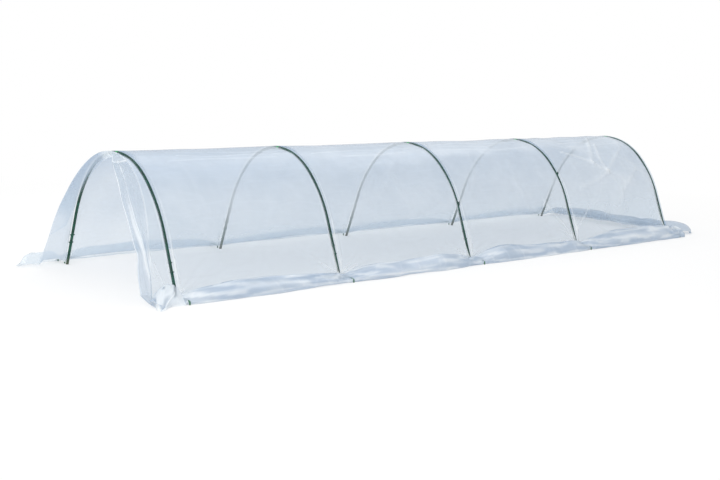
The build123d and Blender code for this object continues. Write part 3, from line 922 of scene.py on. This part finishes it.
def far_end():
    """The end wall from the last hoop down to its foot, and the spare length that lies outside it."""
    cols = np.linspace(-1, 1, 150)
    wall_q, fold_q = np.linspace(0, 1, 56), np.linspace(0, 1, 34)[1:]

    def down(values):
        """Values down the wall, then 1 on the fold."""
        return np.concatenate([values, np.ones(len(fold_q))])[:, None]

    y, z, _, _ = section(cols * (HALF - END_LEG), CLEAR_OF_TUBE)
    top = np.stack([END_X + 0 * cols, y, z], axis=-1)
    foot_y = cols * (FOOT + 0.004)
    foot = np.stack([END_FOOT_X + 0 * cols, foot_y, END_FOOT_Z + 0 * cols], axis=-1)
    wall = top[None] + (foot - top)[None] * wall_q[:, None, None]
    rounded = smooth(1 - np.abs(cols), -0.02, 0.11)
    plump = (0.75 + 0.05 * field(cols, 0 * cols, 41, 0.5)) * (0.35 + 0.65 * rounded)
    out = 0.97 + 0.02 * field(cols, 0 * cols, 42, 0.7) - 0.30 * (1 - rounded)
    rings = [np.stack([END_FOOT_X + dx * out, foot_y * wider, GROUND + high * plump], axis=-1)
             for dx, high, wider in FOLD_SECTION]
    p = np.concatenate([wall, spline([foot, *rings], fold_q)])

    drop = (top[:, 2] - END_FOOT_Z)[None, :]
    end_u = cols[None, :] * END_U + END_AT + np.zeros((len(p), 1))
    end_v = np.concatenate([(wall_q[:, None] - 1) * drop, FOLD_V * fold_q[:, None] + 0 * cols])
    ends = Creases(end_u, end_v)
    for _ in range(15):
        at, low = END_AT + pick.uniform(-0.55, 0.55), pick.uniform(-0.02, 0.02)
        lean = pick.uniform(-0.03, 0.03)
        middle = (at + lean, low - pick.uniform(0.08, 0.2))
        ends.line([(at, low), middle, (at + lean * 2, low - pick.uniform(0.2, 0.42))],
                  width=0.018, lift=0.003, haze=0.06)
    for _ in range(18):
        at = END_AT + pick.uniform(-0.6, 0.6)
        middle = (at + pick.uniform(-0.05, 0.05), 0.12)
        ends.line([(at, 0.0), middle, (at + pick.uniform(-0.08, 0.08), 0.25)],
                  width=0.016, lift=0.0012, haze=0.03, fade=(1, 0.5))

    facets, edges = crumple(end_u, end_v, 29, 0.09, 1.4)
    on_fold, loose = down(smooth(wall_q, 0.965, 1.0)), down(smooth(wall_q, 0, 0.12))
    lobes = smooth(end_v, 0.0, 0.05) * (1 - smooth(end_v, 0.15, 0.22)) * rounded
    lobes = lobes * 0.004 * field(end_u, 0.3 * end_v, 45, 0.22)
    lift = (ends.lift + 0.003 * field(end_u, end_v, 33, 0.26)) * loose + on_fold * 0.0004 * facets - lobes
    p = lifted(p, -lift)
    held = smooth(down(wall_q) * drop, 0.004, 0.016)  # tight and clear where it leaves the last tube
    haze = (0.24 + ends.haze) * held + on_fold * (0.12 + 0.56 * smooth(end_v, 0.045, 0.09) + 0.04 * edges)
    # Creases pale the end, partly as milk and partly as a painted highlight
    pale = 0.24 + 1.5 * ends.haze
    pale += on_fold * (-0.24 + 0.06 * edges + 0.45 * blotches(end_u, end_v, 46, 0.14, 3))
    haze, pale = np.clip(haze, 0.02, 0.93), np.clip(pale, -0.2, 1)
    piece = grid_object("far_end_film", p, end_v, end_u, haze, pale)
    finish_piece(piece, FILM, "film", "end_panel", "end_fold")


far_end()


# -------- floor, light and camera
def studio_floor():
    """A pale floor that fades to the white of the background away from the tunnel."""
    corners = [(-30, -12, 0), (34, -12, 0), (34, 60, 0), (-30, 60, 0)]
    floor = mesh_object("studio_floor", corners, [(0, 1, 2, 3)])
    mat = bpy.data.materials.new("studio_white")
    tree = Tree(mat)
    rays = tree.node("ShaderNodeLightPath").outputs
    seen = tree.maths("MAXIMUM", rays["Is Camera Ray"], rays["Is Glossy Ray"])
    seen = tree.maths("MAXIMUM", seen, rays["Is Transmission Ray"])
    place = tree.node("ShaderNodeTexCoord").outputs["Object"]
    from_tunnel = tree.node("ShaderNodeVectorMath", {0: place}, operation="LENGTH").outputs["Value"]
    fade = tree.ramp(from_tunnel, 1.9, 3.6, 0.40, 1.0)
    lit = tree.shader("ShaderNodeBsdfDiffuse", Color=(0.9, 0.9, 0.9))
    white = tree.shader("ShaderNodeEmission", Strength=1.0)
    tree.surface(tree.blend(tree.maths("MULTIPLY", seen, fade), lit, white))
    floor.data.materials.append(mat)


def studio_world():
    """White where it is seen, and a little dimmer as light."""
    world = bpy.data.worlds.new("studio")
    scene.world = world
    tree = Tree(world)
    rays = tree.node("ShaderNodeLightPath").outputs
    seen = tree.maths("MAXIMUM", rays["Is Camera Ray"], rays["Is Transmission Ray"])
    sky = tree.shader("ShaderNodeBackground", Color=(1, 1, 1), Strength=tree.ramp(seen, 0.0, 1.0, 0.78, 1.0))
    tree.node("ShaderNodeOutputWorld", {0: sky})


def lamp(name, place, aim, size, power):
    data = bpy.data.lights.new(name, "AREA")
    data.shape, data.size, data.size_y = "RECTANGLE", size[0], size[1]
    data.energy = power
    obj = bpy.data.objects.new(name, data)
    obj.location = place
    obj.rotation_mode = "QUATERNION"
    obj.rotation_quaternion = (Vector(aim) - Vector(place)).to_track_quat("-Z", "Y")
    scene.collection.objects.link(obj)


studio_floor()
studio_world()
lamp("key", (-4.6, -2.4, 3.6), (-0.3, 0, 0.2), (4.5, 3.5), 122)
lamp("top", (1.2, 1.8, 4.4), (0.2, 0, 0.2), (6.0, 3.5), 80)

# The camera's place and turns were solved from the photograph together with the hoops
CAMERA_PLACE = (-3.547, -3.714, 0.835)
CAMERA_TURN, CAMERA_RISE, CAMERA_ROLL = math.radians(-41.12), math.radians(8.93), math.radians(1.67)
camera = bpy.data.objects.new("camera", bpy.data.cameras.new("camera"))
scene.collection.objects.link(camera)
aim = Matrix.Rotation(CAMERA_TURN, 4, "Z") @ Matrix.Rotation(math.pi / 2 - CAMERA_RISE, 4, "X")
camera.matrix_world = Matrix.Translation(CAMERA_PLACE) @ aim @ Matrix.Rotation(CAMERA_ROLL, 4, "Z")
camera.data.sensor_width = 36.0
camera.data.lens = 55.08
camera.data.clip_end = 200
scene.camera = camera
scene.view_settings.view_transform = "Standard"
scene.cycles.transparent_max_bounces = 32
